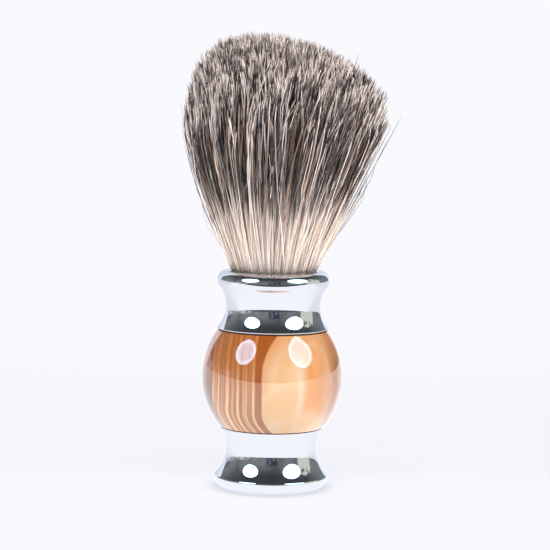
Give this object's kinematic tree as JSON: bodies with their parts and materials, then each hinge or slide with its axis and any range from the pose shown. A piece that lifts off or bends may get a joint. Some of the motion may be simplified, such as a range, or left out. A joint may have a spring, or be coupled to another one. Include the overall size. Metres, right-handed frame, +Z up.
{
  "type": "shaving brush",
  "caption": "Shaving brush with a fan-shaped badger hair tuft, an agate-look resin ball grip, and a waisted chrome collar and foot.",
  "frame": {"origin": "centre of the round face that the brush stands on", "axes": "+Z up along the handle's axis, from the foot to the hair; +X towards the side that the hair leans out to; +Y to the back"},
  "size_m": [0.0486, 0.0486, 0.1087],
  "materials": {
    "chrome": "polished",
    "resin": "gloss",
    "hair": "matte",
    "gasket": "matte",
    "pad": "matte",
    "steel": "satin",
    "spring_steel": "satin",
    "glue": "gloss",
    "plug": "satin",
    "thread": "matte"
  },
  "bodies": {
    "handle": {"foot": "chrome", "foot_pad": "pad", "lower_seat_ring": "gasket", "resin_ball": "resin", "upper_seat_ring": "gasket", "collar": "chrome", "tie_stud": "steel", "flat_washer": "steel", "spring_washer": "spring_steel", "hex_nut": "steel", "setting_glue": "glue", "knot_plug": "plug", "hair_root": "hair", "binding_thread": "thread"},
    "tuft": {"hair_tuft": "hair"}
  },
  "joints": [
    {"name": "tuft_bend", "type": "hinge", "parent": "handle", "child": "tuft", "pos_m": [0, 0, 0.052], "axis": [0, 1, 0], "range_deg": [-30, 30], "stiffness_Nm_per_rad": 0.2, "deforming": ["hair_tuft"]}
  ]
}
